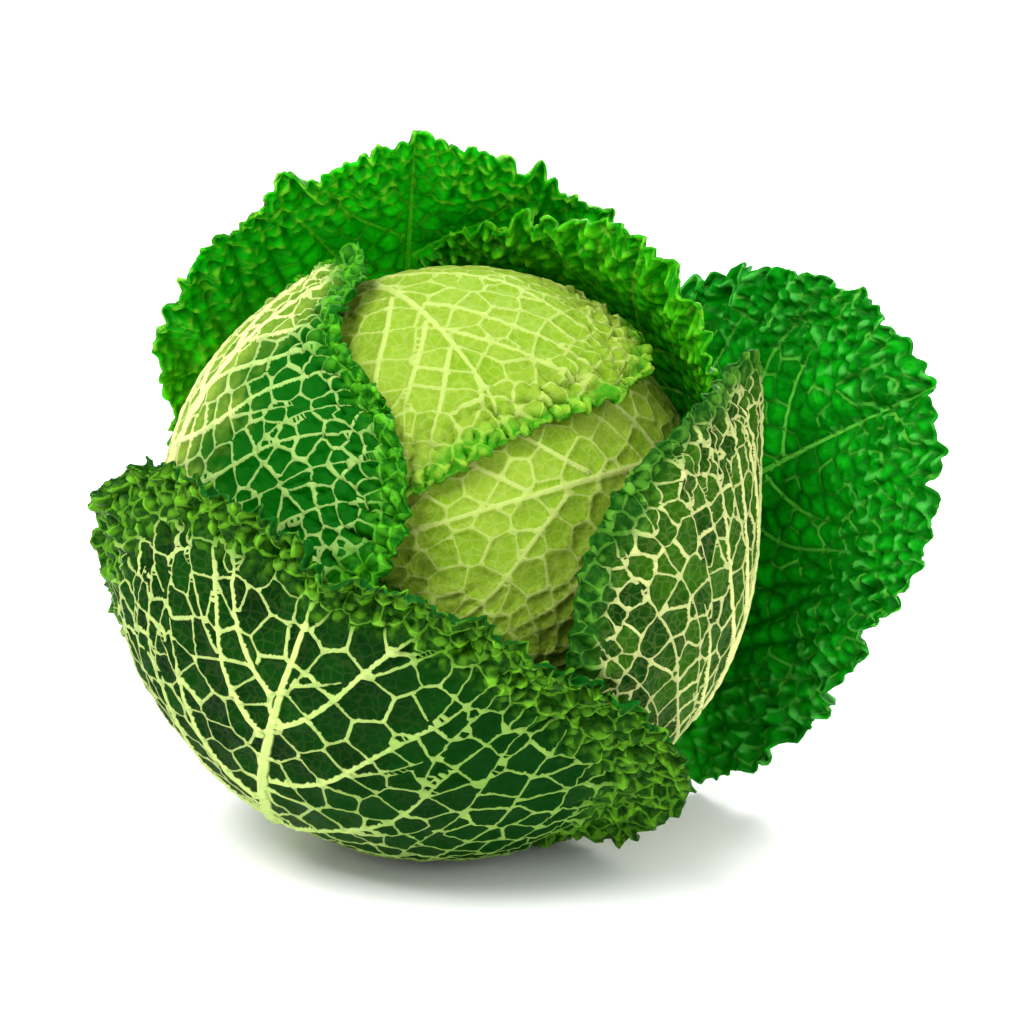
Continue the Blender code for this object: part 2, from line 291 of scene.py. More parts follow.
# %% The form of a leaf
@dataclass
class Leaf:
    """One leaf and the formula of its surface.

    bearing, climb, turn: where the leaf's middle is round the growing axis and up from the stem, and how far
    its axis turns there. left, right, tip: its reach. flare, roll: how much less it bends to the left, the
    tip and the right, all over and at the margin. dent: angle and depth of a bay, or of a lobe if negative.
    ruffle, waves: the margin's large waves. rib, hollow, panel: the midrib, the blisters and the wide puffs
    between side veins. mesh_size, vein_scale: the net of veins. frill: the margin's fine wrinkles.
    """
    name: str
    bearing: float
    climb: float
    turn: float
    radius: float
    left: float
    right: float
    tip: float
    flare: tuple = (0, 0, 0)
    flare_from: float = 40
    roll: tuple = (0, 0, 0)
    roll_from: float = 0.8
    ruffle: float = 4
    waves: float = 9
    dent: tuple = (0, 0)
    petiole: float = 15
    rib: float = 3.0
    hollow: float = 2.0
    shift: float = 0
    seed: int = 1
    grid: tuple = (164, 188)
    mesh_size: float = 9.0
    vein_scale: float = 1.0
    frill: float = 3.0
    panel: float = 0.4

    def __post_init__(self):
        bearing, climb, turn = (math.radians(angle) for angle in (self.bearing, self.climb, self.turn))
        side = math.cos(bearing) * UPPER + math.sin(bearing) * RIGHT
        self.middle = math.cos(climb) * STEM + math.sin(climb) * side
        onward = -math.sin(climb) * STEM + math.cos(climb) * side
        sideways = np.cross(onward, self.middle)
        self.along = math.cos(turn) * onward + math.sin(turn) * sideways
        self.across = np.cross(self.along, self.middle)
        self.bend = turn
        self.to_stem = np.array([math.sin(turn), -math.cos(turn)])
        self.stem_distance = self.radius * climb
        self.phases = np.random.default_rng(self.seed).uniform(0, 2 * math.pi, 3)
        self.base = self.petiole_end()

    def midrib(self, down):
        """Place of the midrib below the middle, down running from 0 there to 1 at the stem."""
        end = self.to_stem * self.stem_distance
        return end[0] * down ** 2, end[1] * down

    def half_width(self, down, side):
        """Half width below the middle, wide enough to stay true where the flat map is drawn together."""
        full = np.where(side > 0, self.right, self.left)
        width = self.petiole + (full - self.petiole) * np.sin(math.pi / 2 * np.clip(1 - down, 0, 1) ** 1.2)
        angle = np.clip(down * self.stem_distance / self.radius, 1e-6, 2.4)
        return width * (angle / np.sin(angle)) ** 0.7

    def low_place(self, u, down):
        """Flat coordinates below the middle: rows across the midrib that turn with it."""
        mid_x, mid_y = self.midrib(down)
        offset = u * self.half_width(down, u)
        return mid_x + offset * np.cos(self.bend * down), mid_y + offset * np.sin(self.bend * down)

    def low_share(self, x, y):
        """The share of the way to the margin, for places below the middle."""
        near, far = np.zeros_like(x), np.full_like(x, 1.1)
        for _ in range(14):
            down = (near + far) / 2
            mid_x, mid_y = self.midrib(down)
            above = (y - mid_y) * np.cos(self.bend * down) - (x - mid_x) * np.sin(self.bend * down) > 0
            near, far = np.where(above, near, down), np.where(above, down, far)
        offset = (x - mid_x) * np.cos(self.bend * down) + (y - mid_y) * np.sin(self.bend * down)
        return np.abs(offset) / self.half_width(down, offset)

    def petiole_end(self):
        """Where the petiole is cut: as near the stem as its whole width stays clear of it."""
        across = np.linspace(-1, 1, 9)
        for down in np.arange(1, 0, -PETIOLE_STEP):
            points, _ = self.surface(*self.low_place(across, np.full(9, down)))
            if np.linalg.norm(np.cross(points, STEM), axis=1).min() > STEM_RADIUS + STEM_CLEARANCE:
                return down

    def bay(self, turned):
        """Scale of the outline at an angle from the leaf's axis: shallow lobes and one deeper bay."""
        lobes = 0.025 * np.sin(5 * turned + self.phases[2])
        upper = ease(-0.5, 0.2, np.cos(turned))
        bay = self.dent[1] * np.exp(-((turned - math.radians(self.dent[0])) / 0.5) ** 2)
        return 1 + lobes * upper - bay

    def margin_share(self, x, y):
        """0 at the midrib, 1 at the margin."""
        scale = self.bay(np.arctan2(x, y))
        x, y = x / scale, y / scale
        full = np.where(x > 0, self.right, self.left)
        high = (np.abs(x / full) ** 2.2 + np.abs(np.maximum(y, 0) / self.tip) ** 2.2) ** (1 / 2.2)
        return np.where(y >= 0, high, self.low_share(x, y))

    def flat_place(self, u, v):
        """Flat coordinates of a place on the blade: u from -1 to 1 across, v from 0 at the petiole to 1."""
        x_low, y_low = self.low_place(u, self.base * (1 - np.clip(v / 0.5, 0, 1)))
        t = np.clip((v - 0.5) / 0.5, 0, 1)
        x_high = np.where(u > 0, self.right, self.left) * u * np.sqrt(1 - t * t / 2)
        y_high = self.tip * t * np.sqrt(1 - u * u / 2)
        x, y = np.where(v < 0.5, x_low, x_high), np.where(v < 0.5, y_low, y_high)
        scale = self.bay(np.arctan2(x, y))
        return x * scale, y * scale

    def surface(self, x, y, steps=32):
        """Points of the blade and its outward directions, walking out from the middle along each ray."""
        length, turned = np.hypot(x, y), np.arctan2(x, y)
        ray = np.cos(turned)[:, None] * self.along + np.sin(turned)[:, None] * self.across
        shares = np.stack([np.maximum(0, -np.sin(turned)), np.maximum(0, np.cos(turned)),
                           np.maximum(0, np.sin(turned))])
        shares = shares / (shares.sum(axis=0) + 1e-9)
        free = 1 - ease(0.35, 0.8, np.sin(turned) * self.to_stem[0] + np.cos(turned) * self.to_stem[1])
        flare, roll = (free * (np.array(part)[:, None] * shares).sum(axis=0)
                       for part in (self.flare, self.roll))
        heading, outwards, onwards = np.zeros_like(x), np.zeros_like(x), np.zeros_like(x)
        step = length / steps
        for index in range(steps):
            walked = step * (index + 0.5)
            bend = (1 - flare * ease(self.flare_from, self.flare_from + 40, walked)) / self.radius
            if any(self.roll):
                share = self.margin_share(walked * np.sin(turned), walked * np.cos(turned))
                bend = bend - roll * ease(self.roll_from, 1.0, share) / ROLL_LENGTH
            heading = heading + bend * step
            onwards = onwards + np.cos(heading) * step
            outwards = outwards - np.sin(heading) * step
        points = (self.radius + outwards)[:, None] * self.middle + onwards[:, None] * ray
        out = np.cos(heading)[:, None] * self.middle + np.sin(heading)[:, None] * ray
        wave = np.sin(self.waves * turned + self.phases[0])
        wave = wave + 0.6 * np.sin(1.7 * self.waves * turned + self.phases[1])
        edge = np.clip(self.margin_share(x, y), 0, 1.1) ** 4 * (0.3 + 0.7 * free)
        points = points + out * (self.ruffle * edge * (0.5 + wave / 3.2))[:, None]
        return points + [self.shift, 0, 0], out

    def floor(self):
        """Height below which this leaf is pressed flat, by the surface or by the layers under it."""
        return max(0.0, (RESTING_RADIUS - self.radius) * FLATTENING)


# %% The nine leaves
LEAVES = {leaf.name: leaf for leaf in (
    Leaf("head_leaf_left", 227, 113, 31, radius=68.5, left=60, right=60, tip=64, ruffle=1.5, shift=HEAD_SHIFT,
         rib=1.8, hollow=0.9, seed=11, grid=(90, 100), mesh_size=9, vein_scale=0.9, frill=1.0),
    Leaf("head_leaf_right", 106, 137, -41, radius=73.5, left=85, right=62, tip=96, ruffle=2, shift=HEAD_SHIFT,
         rib=2.0, hollow=0.9, seed=12, grid=(130, 144), mesh_size=10, vein_scale=0.9, frill=1.5),
    Leaf("head_leaf_top", 335, 150, 0, radius=78, left=80, right=85, tip=62, ruffle=3, shift=HEAD_SHIFT,
         rib=2.0, hollow=1.1, seed=13, grid=(130, 144), mesh_size=10, vein_scale=0.9, frill=4.0),
    Leaf("outer_leaf_left", 284, 115, -44, radius=84, left=75, right=98, tip=70, flare=(0, 0.3, 0.2),
         roll=(0, 0.3, 0.6), roll_from=0.75, dent=(38, 0.2), ruffle=3.5, hollow=1.5, seed=6, mesh_size=9,
         vein_scale=0.9, frill=3.5),
    Leaf("outer_leaf_upper", 50, 80, 0, radius=87.5, left=90, right=84, tip=72, flare=(-0.5, 2.0, 0),
         flare_from=30, dent=(-8, -0.36), ruffle=2, rib=2.4, hollow=1.3, seed=7, mesh_size=8, frill=4.0),
    Leaf("outer_leaf_right", 117, 90, 63, radius=93.9, left=92, right=50, tip=84, flare=(0, 0.9, 0.2),
         flare_from=10, ruffle=2, rib=2.4, hollow=1.6, seed=15, mesh_size=12, vein_scale=0.95, frill=2.5),
    Leaf("outer_leaf_front", 216, 95, 0, radius=RESTING_RADIUS, left=100, right=128, tip=80,
         roll=(0.3, 1.5, 0.8), roll_from=0.7, ruffle=4, rib=5, hollow=1.9, seed=3, mesh_size=11.5,
         vein_scale=0.9, frill=4.5, panel=1.0),
    Leaf("outer_leaf_back", 360, 70, 2, radius=103, left=84, right=87, tip=97, flare=(0.3, 0.9, 0.6),
         flare_from=20, ruffle=4, rib=3.5, hollow=1.3, seed=8, mesh_size=8, frill=4.0, panel=4.0),
    Leaf("outer_leaf_far_right", 67, 60, -21, radius=111, left=88, right=68, tip=120, flare=(1.0, 1.2, 1.0),
         flare_from=0, dent=(-32, 0.1), ruffle=6, rib=4, hollow=1.4, seed=9, mesh_size=8.5, frill=5.0,
         panel=4.0),
)}

# %% [markdown]
# ## The net of veins
# A leaf's side veins leave the midrib in turn and swing up towards the tip, and a net of finer veins closes
# the blade into meshes. A plain way to draw such a net is to scatter one seed in every mesh: the veins are
# then the lines that are equally far from two seeds. Side veins come out of the same rule when pairs of
# seeds are set along both sides of them.

# %% Side veins
SIDE_VEIN_COUNT = 6
FIRST_VEIN, VEIN_SPACING, RIGHT_LATER = 0.04, 0.125, 0.05      # heights at which they leave the midrib
LEAVES_MIDRIB_AT, TURNS_TO = (46, 58), (12, 24)                # degrees from the leaf's axis
TURNS_OVER = 60.0              # length over which it turns from one to the other
WAVER, WAVER_LENGTH = 0.16, (7, 12)
VEIN_STEP, VEIN_STEPS = 2.5, 70
SIDE_VEIN_WIDTH, NARROWER = 0.95, 0.06         # half width of the lowest one, and how much the next has less
THINS_OVER, THINNEST = 150, 0.35
FORKS = ((14, 30, 0.65), (24, -26, 0.55))      # after how many steps a side vein forks, angle, thinness
FORK_TURNS_OVER = 30
MERGES_WITHIN = 4.0            # a vein that comes this near another one ends there
FREE_STEPS = 6                 # but not in its first steps
TAPER_STEPS, THIN_END = 8, 0.35
CHUNK = 1500                   # points handled at a time


def grow_vein(leaf, start, headings, sizes, others):
    """A vein that walks from a place along its headings until it meets the margin or another vein."""
    x = start[0] + VEIN_STEP * np.cumsum(np.sin(headings))
    y = start[1] + VEIN_STEP * np.cumsum(np.cos(headings))
    goes_on = leaf.margin_share(x, y) < 1.0
    if others:
        beside_x, beside_y, _ = np.concatenate(others, axis=1)
        gap = np.hypot(x[:, None] - beside_x, y[:, None] - beside_y).min(axis=1)
        goes_on &= (gap > MERGES_WITHIN) | (np.arange(len(x)) < FREE_STEPS)
    reached = np.concatenate([[1], np.cumprod(goes_on)[:-1]]).astype(bool)
    path = np.stack([x, y, sizes])[:, reached]
    path[2] *= np.clip(np.arange(path.shape[1], 0, -1) / TAPER_STEPS, THIN_END, 1)
    return path


def side_veins(leaf, rng):
    """Paths of the side veins in flat coordinates, each with its half width along it."""
    veins = []
    walked = VEIN_STEP * np.arange(VEIN_STEPS)
    for side in (-1, 1):
        for index in range(SIDE_VEIN_COUNT):
            v = FIRST_VEIN + VEIN_SPACING * index + RIGHT_LATER * (side > 0) + rng.uniform(-0.02, 0.02)
            down = leaf.base * (1 - min(v / 0.5, 1))
            start = leaf.flat_place(np.zeros(1), np.full(1, v))
            first, last = math.radians(rng.uniform(*LEAVES_MIDRIB_AT)), math.radians(rng.uniform(*TURNS_TO))
            headings = side * (last + (first - last) * np.exp(-walked / TURNS_OVER)) - leaf.bend * down
            headings = headings + WAVER * np.sin(walked / rng.uniform(*WAVER_LENGTH) + rng.uniform(0, 6))
            sizes = (leaf.vein_scale * (SIDE_VEIN_WIDTH - NARROWER * index)
                     * np.clip(1 - walked / THINS_OVER, THINNEST, 1))
            path = grow_vein(leaf, (start[0][0], start[1][0]), headings, sizes, veins)
            veins.append(path)
            for fork_from, angle, thinner in FORKS:
                fork_from = fork_from + int(rng.integers(-4, 5))
                if path.shape[1] > fork_from + 3:
                    turned = side * math.radians(angle) * np.exp(-walked[:-fork_from] / FORK_TURNS_OVER)
                    veins.append(grow_vein(leaf, path[:2, fork_from], headings[fork_from:] + turned,
                                           thinner * sizes[fork_from:], veins))
    return [vein for vein in veins if vein.shape[1] > 3]


def near_paths(points, veins):
    """The way from each point to the nearest side vein, and its relative distance and half width."""
    starts, ends = (np.concatenate([vein.T[part] for vein in veins])
                    for part in (slice(None, -1), slice(1, None)))
    run = ends - starts
    square = (run[:, :2] ** 2).sum(axis=1)
    way, (ratio, width) = np.zeros_like(points), np.zeros((2, len(points)))
    for first in range(0, len(points), CHUNK):
        part = slice(first, first + CHUNK)
        away = points[part, None] - starts[None, :, :2]
        along = np.clip((away * run[None, :, :2]).sum(axis=2) / square, 0, 1)
        ways = along[:, :, None] * run[None, :, :2] - away
        far = np.linalg.norm(ways, axis=2)
        size = starts[:, 2] + along * run[:, 2]
        nearest = (far / size).argmin(axis=1)
        rows = np.arange(len(far))
        ratio[part], width[part] = far[rows, nearest] / size[rows, nearest], size[rows, nearest]
        way[part] = ways[rows, far.argmin(axis=1)]
    return way, ratio, width


# %% Seeds of the net
PAIR_OFFSET = (0.32, 0.55)     # a seed's distance from its side vein, as a share of the mesh size
PAIR_STEP = (0.6, 1.3)         # the distance between the seeds along it
CROWDING = 0.45                # seeds of two side veins stay this far apart
SPREAD = (0.72, 0.42)          # distance between the other seeds: in the middle, at the margin
SEED_TRIES = 14000
LAST_SEED = 1.1                # seeds lie this far beyond the margin at most, as a share of the leaf


def along_path(x, y, mesh_size, rng):
    """Places along a path at uneven steps, as fractional indices of its points."""
    length = np.concatenate([[0], np.cumsum(np.hypot(np.diff(x), np.diff(y)))])
    steps = rng.uniform(*PAIR_STEP, int(length[-1] / mesh_size / PAIR_STEP[0]) + 1) * mesh_size
    stops = np.cumsum(steps) - steps[0] / 2
    return np.interp(stops[stops < length[-1]], length, np.arange(len(x)))


def net_seeds(leaf, veins, rng):
    """Seeds of one leaf's net: pairs that flank its side veins come first, others are scattered between."""
    seeds = []
    for x, y, _ in veins:
        for stop in along_path(x, y, leaf.mesh_size, rng):
            at, ahead = (np.array([np.interp(stop + step, np.arange(len(x)), part) for part in (x, y)])
                         for step in (-0.5, 0.5))
            run = unit(ahead - at)
            offset = np.array([-run[1], run[0]]) * leaf.mesh_size * rng.uniform(*PAIR_OFFSET)
            pair = [(at + ahead) / 2 + flank * offset for flank in (-1, 1)]
            if seeds and min(np.hypot(*(np.array(seeds) - seed).T).min() for seed in pair) < (
                    leaf.mesh_size * CROWDING):
                continue
            seeds += pair
    flanking = len(seeds)
    reach = max(leaf.left, leaf.right, leaf.tip) * 1.6
    tries = rng.uniform([-reach, -leaf.stem_distance * 1.1], [reach, leaf.tip * 1.5], (SEED_TRIES, 2))
    shares = leaf.margin_share(*tries.T)
    spacing = leaf.mesh_size * (SPREAD[0] + (SPREAD[1] - SPREAD[0]) * ease(0.65, 0.9, shares))
    for seed, space in zip(tries[shares < LAST_SEED], spacing[shares < LAST_SEED]):
        if np.hypot(*(np.array(seeds) - seed).T).min() > space:
            seeds.append(seed)
    return np.array(seeds), flanking


# %% Distances to the net
FINEST_VEIN, STRONGEST_NET_VEIN = 0.2, 0.5     # half widths, in millimetres


def net_at(points, seeds, half_widths):
    """The way from each point to the nearest vein, that vein's relative distance and width, and the cell."""
    between = np.linalg.norm(seeds[:, None] - seeds[None], axis=2)
    np.fill_diagonal(between, np.inf)
    way, ratio, width = np.zeros_like(points), np.zeros(len(points)), np.zeros(len(points))
    cell = np.zeros(len(points), int)
    for start in range(0, len(points), CHUNK):
        part = slice(start, start + CHUNK)
        square = ((points[part, None] - seeds[None]) ** 2).sum(axis=2)
        rows = np.arange(len(square))
        own = square.argmin(axis=1)
        distance = (square - square[rows, own][:, None]) / (2 * between[own])
        distance[half_widths[own] == 0] = np.inf
        nearest = distance.argmin(axis=1)
        direction = (seeds[nearest] - seeds[own]) / between[own, nearest][:, None]
        way[part] = direction * distance[rows, nearest][:, None]
        relative = distance / half_widths[own]
        strongest = relative.argmin(axis=1)
        ratio[part] = relative[rows, strongest]
        width[part] = half_widths[own, strongest]
        cell[part] = own
    return way, ratio, width, cell


def vein_widths(count, flanking, scale, rng):
    """Half width of the vein between every two seeds: none inside a flanking pair, where a side vein runs."""
    widths = FINEST_VEIN + (STRONGEST_NET_VEIN - FINEST_VEIN) * rng.uniform(0, 1, (count, count)) ** 2
    widths = np.triu(widths, 1)
    first = np.arange(0, flanking, 2)
    widths[first, first + 1] = 0
    return scale * (widths + widths.T)


# %% [markdown]
# ## A fine sheet
# A grid carries the surface. Points of the grid that lie close to a vein are pulled onto it, so that each
# vein is a crisp crease. The blade bulges inwards between the veins, which makes blisters on the inner side
# and pockets on the outer one. Towards the margin the sheet has more length than the outline has room for,
# so it stands in frills and wrinkles.

# %% Relief of a sheet
BLADE = 0.8
DOME = 3.4           # distance from the veins at which a blister reaches its height
PULL = 0.5           # a point this near a vein, in steps of the grid, is pulled onto it
BESIDE = 1.3         # this near a side vein, no finer vein runs along it
PARALLEL = 0.85      # cosine from which on a finer vein counts as running along
MOST_RATIO = 8.0     # distances to a vein stop counting here, in half widths of the vein
FLUTE, CURL, LOBE, WRINKLE = 9, 3.6, 3.0, 2.8      # sizes of the frilled margin's features
MOST_REACH = 4.0     # a frill beyond this makes the margin livelier, but no wider


def noise_at(first, second, scale, offset):
    """Smooth noise from -1 to 1 over two coordinates."""
    return np.array([noise.noise(Vector((a / scale, b / scale, offset))) for a, b in zip(first, second)])


def frills(leaf, x, y, share):
    """How far the margin stands out of the sheet, and how far its lobes reach beyond the outline."""
    turned = np.arctan2(x, y)
    arc = turned * (leaf.left + leaf.right) / 2
    free = 1 - ease(0.5, 0.95, np.sin(turned) * leaf.to_stem[0] + np.cos(turned) * leaf.to_stem[1])
    lively = 0.7 + 0.9 * noise_at(arc, share * 10, 24, leaf.seed + 60)
    flutes = lively * noise_at(arc, share * 20, FLUTE, leaf.seed)
    curls = noise_at(arc, share * 40, CURL, leaf.seed + 40)
    lobes = noise_at(arc, share * 0, LOBE, leaf.seed + 80)
    stand = 1.5 * ease(0.55, 1.0, share) * flutes + 0.7 * ease(0.65, 0.9, share) * curls
    reach = min(leaf.frill, MOST_REACH) * free * ease(0.86, 1.0, share) * (0.8 * lobes + 0.7 * flutes)
    return leaf.frill * free * stand, reach


def step_across(leaf, u, v, direction):
    """How far one step of the grid goes in a direction, along its rows or its columns."""
    small = 1e-4
    here = np.stack(leaf.flat_place(u, v), 1)
    inward = -np.sign(u - 1e-9) * small
    across = (np.stack(leaf.flat_place(u + inward, v), 1) - here) / small * 2 / leaf.grid[0]
    inward = np.where(v < 0.5, small, -small)
    along = (np.stack(leaf.flat_place(u, v + inward), 1) - here) / small / leaf.grid[1]
    return np.maximum(np.abs((across * direction).sum(axis=1)), np.abs((along * direction).sum(axis=1)))


def near_line(leaf, u, v, way):
    """Whether a line that far away is within reach of a grid point, and how far away it is."""
    distance = np.linalg.norm(way, axis=1)
    inside = (np.abs(u) < 0.99) & (v > 0.01) & (v < 0.99) & (np.abs(u) > 1 / leaf.grid[0])
    return inside & (distance < PULL * step_across(leaf, u, v, way / (distance[:, None] + 1e-9))), distance


def unfold(leaf, spots, unpulled):
    """Sends points back to where they were if their pull turned a corner of the grid over."""
    rows, columns = leaf.grid[1] + 1, leaf.grid[0] + 1
    places = spots.reshape(rows, columns, 2)
    folded = np.zeros((rows, columns), bool)
    right, up = np.diff(places, axis=1), np.diff(places, axis=0)
    for low in (slice(None, -1), slice(1, None)):
        for left in (slice(None, -1), slice(1, None)):
            turn = right[low, :, 0] * up[:, left, 1] - right[low, :, 1] * up[:, left, 0]
            for row in (slice(None, -1), slice(1, None)):
                folded[row, :-1] |= turn < 0
                folded[row, 1:] |= turn < 0
    folded = folded.ravel()
    spots[folded] = unpulled[folded]
    return folded


def flat_net(leaf, u, v):
    """Flat coordinates of the grid, pulled onto the veins, and how far each point is from them."""
    rng = np.random.default_rng(leaf.seed * 7 + 5)
    veins = side_veins(leaf, rng)
    seeds, flanking = net_seeds(leaf, veins, rng)
    spots = np.stack(leaf.flat_place(u, v), 1)
    unpulled = spots.copy()
    path_way, _, _ = near_paths(spots, veins)
    on_path, from_path = near_line(leaf, u, v, path_way)
    spots[on_path] += path_way[on_path]
    way, ratio, width, cell = net_at(spots, seeds, vein_widths(len(seeds), flanking, leaf.vein_scale, rng))
    on_net, distance = near_line(leaf, u, v, way)
    along = np.abs((way * path_way).sum(axis=1)) > PARALLEL * distance * from_path
    beside = (from_path < BESIDE) & along
    ratio[beside] = MOST_RATIO
    on_net = on_net & ~on_path & ~beside
    spots[on_net] += way[on_net]
    folded = unfold(leaf, spots, unpulled)
    on_net, on_path = on_net & ~folded, on_path & ~folded
    ratio[on_net], distance[on_net] = 0.0, 0.0
    path_way, path_ratio, path_width = near_paths(spots, veins)
    from_path = np.linalg.norm(path_way, axis=1)
    wide = np.where(v < 0.5, leaf.half_width(leaf.base * (1 - np.clip(v / 0.5, 0, 1)), u),
                    np.where(u > 0, leaf.right, leaf.left))
    off_midrib = np.abs(u) * wide
    midrib_width = 0.45 + (0.4 * leaf.rib + 0.3) * (1 - v) ** 1.5
    for other, other_width in ((path_ratio, path_width), (off_midrib / midrib_width, midrib_width)):
        width = np.where(other < ratio, other_width, width)
        ratio = np.minimum(ratio, other)
    from_vein = np.minimum(from_path, off_midrib)
    return spots, on_path | on_net, {
        "ratio": ratio, "width": width, "distance": np.minimum(distance, from_vein * 0.7),
        "from_path": from_vein, "cell": rng.uniform(0, 1, len(seeds))[cell]}


def flat_sheet(leaf):
    """The grid of a leaf as a mesh, split so that its edges follow the net, with what its points measure."""
    sheet = bmesh.new()
    bmesh.ops.create_grid(sheet, x_segments=leaf.grid[0], y_segments=leaf.grid[1], size=1.0)
    grid = np.array([vertex.co for vertex in sheet.verts])
    u, v = grid[:, 0], (grid[:, 1] + 1) / 2
    spots, pulled, measured = flat_net(leaf, u, v)
    for vertex, spot in zip(sheet.verts, spots):
        vertex.co = (*spot, 0)
    on_vein = [vertex for vertex, is_pulled in zip(sheet.verts, pulled) if is_pulled]
    bmesh.ops.connect_verts(sheet, verts=on_vein)
    bmesh.ops.triangulate(sheet, faces=[face for face in sheet.faces if len(face.verts) > 3])
    mesh = bpy.data.meshes.new(leaf.name + "_sheet")
    sheet.to_mesh(mesh)
    sheet.free()
    return mesh, u, v, spots, measured


def fine_sheet(leaf):
    """The inner face of a leaf as a fine open mesh, with its thickness and the masks of its material."""
    mesh, u, v, spots, measured = flat_sheet(leaf)
    x, y = spots.T
    share = leaf.margin_share(x, y)
    stand, reach = frills(leaf, x, y, share)
    length = np.hypot(x, y) + 1
    points, out = leaf.surface(x * (1 + reach / length), y * (1 + reach / length))
    fade = ease(0, 0.35, v)
    dome = 1 - (1 - np.clip(measured["distance"] / DOME, 0, 1)) ** 2
    uneven = 0.75 + 0.5 * noise_at(x, y, 11, leaf.seed + 5)
    wrinkles = noise_at(x, y, WRINKLE, leaf.seed + 9)
    pucker = (0.5 + 2.0 * ease(0.6, 0.85, share)) * wrinkles * min(leaf.frill, MOST_REACH) / MOST_REACH
    height = stand - fade * (leaf.hollow * dome * uneven + pucker
                             + leaf.panel * (1 - np.exp(-measured["from_path"] / 9)))
    rise = (0.15 + 0.8 * measured["width"]) * np.clip(1 - measured["ratio"] ** 2, 0, 1)
    return mesh, (points + out * height[:, None]), BLADE + rise, {
        "vein": np.clip(measured["ratio"], 0, MOST_RATIO), "vein_size": measured["width"], "share": share,
        "height": v, "dome": dome, "across": u, "cell": measured["cell"],
        "wrinkle": wrinkles * ease(0.5, 0.8, share)}


# %% Thickness and floor
def add_leaf(leaf):
    """A fine leaf as one closed piece, its thickness laid on outwards, pressed flat on the floor."""
    mesh, points, thickness, masks = fine_sheet(leaf)
    mesh.vertices.foreach_set("co", ((points * MM) + np.array(centre)).astype(np.float32).ravel())
    mesh.update()
    normals = np.zeros(len(mesh.polygons) * 3, np.float32)
    mesh.polygons.foreach_get("normal", normals)
    if (normals.reshape(-1, 3) @ leaf.middle).sum() < 0:
        mesh.flip_normals()
    for name, values in masks.items():
        mesh.attributes.new(name, "FLOAT", "POINT").data.foreach_set("value", values.astype(np.float32))
    piece = bpy.data.objects.new(leaf.name.replace("leaf", "sheet"), mesh)
    bpy.context.scene.collection.objects.link(piece)
    most = thickness.max()
    group = piece.vertex_groups.new(name="thickness")
    for index, value in enumerate(thickness / most):
        group.add([index], value, "REPLACE")
    thicken = piece.modifiers.new("thickness", "SOLIDIFY")
    thicken.thickness = most * MM
    thicken.offset = 1
    thicken.vertex_group = "thickness"
    bpy.context.view_layer.update()
    piece.data = bpy.data.meshes.new_from_object(piece.evaluated_get(bpy.context.evaluated_depsgraph_get()))
    piece.modifiers.clear()
    bpy.data.meshes.remove(mesh)
    finished = piece.data
    count = len(finished.vertices)
    outer = np.arange(count) < count // 2
    finished.attributes.new("outer", "FLOAT", "POINT").data.foreach_set("value", outer.astype(np.float32))
    coordinates = np.zeros(count * 3, np.float32)
    finished.vertices.foreach_get("co", coordinates)
    coordinates = coordinates.reshape(-1, 3)
    lowest = (leaf.floor() + np.where(outer, 0, BLADE)) * MM
    coordinates[:, 2] = np.maximum(coordinates[:, 2], lowest)
    finished.vertices.foreach_set("co", coordinates.ravel())
    finished.shade_smooth()
    finished.update()
    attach(piece, "root")
    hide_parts(leaf.name)
    print(piece.name, len(finished.polygons), "faces")
    return piece


# %% [markdown]
# ## Leaf finish
# The blade is darkest between the veins and the veins are pale, most of all the thick ones on the outer
# side. Some light and shade is painted into the colour: highlights on the crests of the margin's wrinkles and
# shade in their furrows, highlights on the tops of the inner blisters and shade in their creases, and shade
# over one side of some leaves. Light passes through a leaf, so a little of it scatters under the surface.
# Fine pores are bump, and a net too fine for the mesh is colour.

# %% Leaf materials
@dataclass
class Finish:
    """Colours of one leaf: blade and veins outside and inside, the pale base and the band at the margin; the
    margin colours also give painted shade and painted highlights.
    """
    name: str
    slot: str
    blade: tuple
    blade_light: tuple
    vein: tuple
    # The inner side's colours: darker in the blisters' creases along the veins and lighter on their tops, as
    # painted shade and highlight.
    inner: tuple
    inner_tone_and_highlight: tuple
    inner_vein: tuple
    base: tuple
    # The band's colour at the margin, also used as painted shade in the wrinkles' furrows and over the shaded
    # side.
    margin: tuple
    # The band's vein colour, also used as a painted highlight on wrinkle crests and as painted shade on the
    # veins of the shaded side.
    margin_vein_highlight_and_shade: tuple
    band: tuple = (0.82, 0.93)
    base_reach: float = 0.22
    fine: float = 0.12
    # The range across the midrib over which one side of the leaf is painted darker, as painted shade.
    painted_shade_side: tuple = ()
    through: float = 0.0


